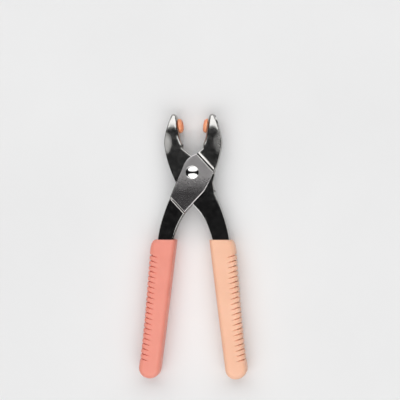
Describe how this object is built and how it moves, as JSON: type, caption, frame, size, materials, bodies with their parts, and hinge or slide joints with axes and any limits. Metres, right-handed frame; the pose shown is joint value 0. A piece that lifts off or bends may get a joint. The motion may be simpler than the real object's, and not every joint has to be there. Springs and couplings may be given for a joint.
{
  "type": "snap setter pliers",
  "caption": "Hand pliers for setting snap fasteners: nested pressed-steel levers on a rivet, ribbed plastic grips and a push-in die insert in each jaw.",
  "frame": {"origin": "on the rivet's axis, at the flat back face that the pliers lie on", "axes": "+Y from the handles to the jaws, +Z out of the front face along the rivet, +X to the right seen from the front"},
  "size_m": [0.0972, 0.2389, 0.0212],
  "materials": {
    "plated_sheet": "nickel-plated pressed steel, polished, with a fine brushed grain on the raised plates",
    "bright_plating": "bright nickel plating",
    "spring_wire": "drawn spring-steel wire",
    "coral_grip": "soft moulded plastic, satin",
    "apricot_grip": "soft moulded plastic, satin",
    "orange_insert": "moulded hard plastic, slightly glossy"
  },
  "bodies": {
    "front_half": {"lever_front": "plated_sheet", "left_grip": "coral_grip", "pivot_rivet": "bright_plating", "rivet_washer": "bright_plating", "spacer_sleeve": "bright_plating", "return_spring": "spring_wire", "right_socket": "bright_plating", "right_snap_ring": "spring_wire", "right_insert": "orange_insert"},
    "rear_half": {"lever_rear": "plated_sheet", "right_grip": "apricot_grip", "left_socket": "bright_plating", "left_snap_ring": "spring_wire", "left_insert": "orange_insert"}
  },
  "joints": [
    {"name": "squeeze", "type": "hinge", "parent": "front_half", "child": "rear_half", "pos_m": [0, 0, 0.0102], "axis": [0, 0, -1], "range_deg": [0, 16], "stiffness_Nm_per_rad": 1.5, "springref_deg": -20.05, "deforming": ["return_spring"]}
  ]
}
